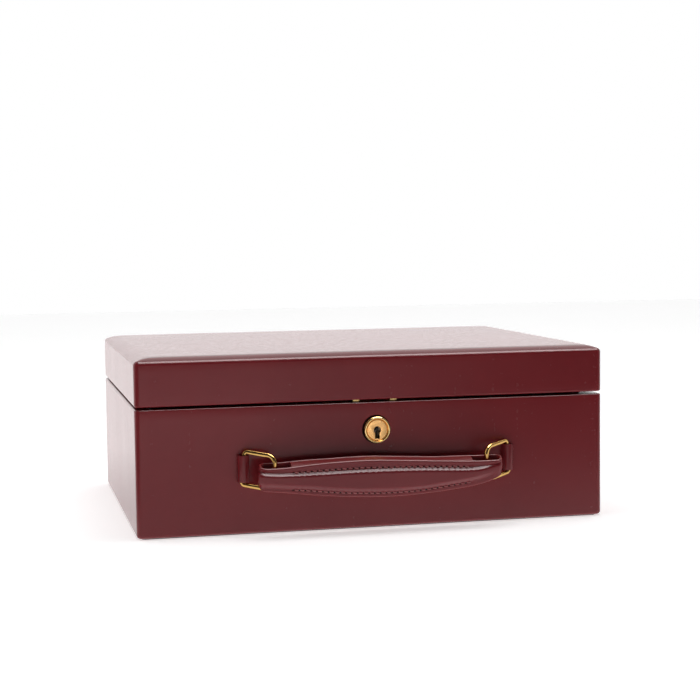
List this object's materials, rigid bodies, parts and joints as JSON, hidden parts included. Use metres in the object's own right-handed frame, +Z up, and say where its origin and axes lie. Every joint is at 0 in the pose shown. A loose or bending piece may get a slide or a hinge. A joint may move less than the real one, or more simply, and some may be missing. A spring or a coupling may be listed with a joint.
{
  "type": "leather jewellery case",
  "caption": "Rectangular leather-covered jewellery case with a hinged lockable lid, a swinging front handle on brass loops, and a lift-out tray with ring rolls.",
  "frame": {"origin": "centre of the underside of the closed case, without the handle", "axes": "+X to the case's right as its front is faced, +Y from front to back, +Z up"},
  "size_m": [0.3, 0.2454, 0.1108],
  "materials": {
    "leather": "polished",
    "board": "satin",
    "underside": "matte",
    "core": "satin",
    "suede": "matte",
    "brass": "polished",
    "steel": "satin"
  },
  "bodies": {
    "case": {"base_leather": "leather", "front_board": "board", "back_board": "board", "left_board": "board", "right_board": "board", "floor_board": "board", "underside_panel": "underside", "lining_front": "suede", "lining_back": "suede", "lining_left": "suede", "lining_right": "suede", "floor_pad": "suede", "tray_ledge_left": "suede", "tray_ledge_right": "suede", "handle_tab_left": "leather", "handle_tab_right": "leather", "tab_tacks": "steel", "lock_faceplate": "brass", "lock_screws": "steel", "lock_case": "steel", "lock_cap": "steel", "lock_barrel": "brass", "lock_rosette": "brass", "lock_drill_pin": "steel", "lock_spring": "steel", "hinge_leaf_base": "brass", "hinge_screws_base": "steel", "hinge_pin": "steel"},
    "lid": {"lid_leather": "leather", "lid_top_board": "board", "lid_front_board": "board", "lid_back_board": "board", "lid_left_board": "board", "lid_right_board": "board", "lid_lining_front": "suede", "lid_lining_back": "suede", "lid_lining_left": "suede", "lid_lining_right": "suede", "lid_pad": "suede", "hasp_plate": "brass", "hasp_screws": "steel", "hinge_leaf_lid": "brass", "hinge_screws_lid": "steel"},
    "bolt": {"lock_bolt": "steel"},
    "grip": {"grip_leather": "leather", "grip_core": "core"},
    "ring_left": {"ring_left": "brass"},
    "ring_right": {"ring_right": "brass"},
    "tray": {"tray_walls": "suede", "tray_floor": "suede", "tray_long_divider": "suede", "tray_cross_dividers": "suede", "ring_roll_1": "suede", "ring_roll_2": "suede", "ring_roll_3": "suede", "ring_roll_4": "suede", "ring_roll_5": "suede"}
  },
  "joints": [
    {"name": "lid_hinge", "type": "hinge", "parent": "case", "child": "lid", "pos_m": [0, 0.111, 0.08015], "axis": [-1, 0, 0], "range_deg": [0, 98]},
    {"name": "bolt_slide", "type": "slide", "parent": "case", "child": "bolt", "axis": [1, 0, 0], "range_m": [0, 0.0055]},
    {"name": "tray_lift", "type": "slide", "parent": "case", "child": "tray", "axis": [0, 0, 1], "range_m": [0, 0.024]},
    {"name": "grip_slide", "type": "slide", "parent": "case", "child": "grip", "axis": [0, -1, 0], "range_m": [-0.0058, 0.0055]},
    {"name": "ring_left_hinge", "type": "hinge", "parent": "case", "child": "ring_left", "pos_m": [-0.0848, -0.1151, 0.04205], "axis": [0.1027, -0.0657, 0.9925], "range_deg": [-18.6, 19.6]},
    {"name": "ring_right_hinge", "type": "hinge", "parent": "case", "child": "ring_right", "pos_m": [0.0848, -0.1151, 0.04205], "axis": [-0.1027, -0.0657, 0.9925], "range_deg": [-19.6, 18.6]}
  ],
  "couplings": [
    {"joint": "ring_left_hinge", "follows": "grip_slide", "rad_per_m": -58.8},
    {"joint": "ring_right_hinge", "follows": "grip_slide", "rad_per_m": 58.8}
  ]
}
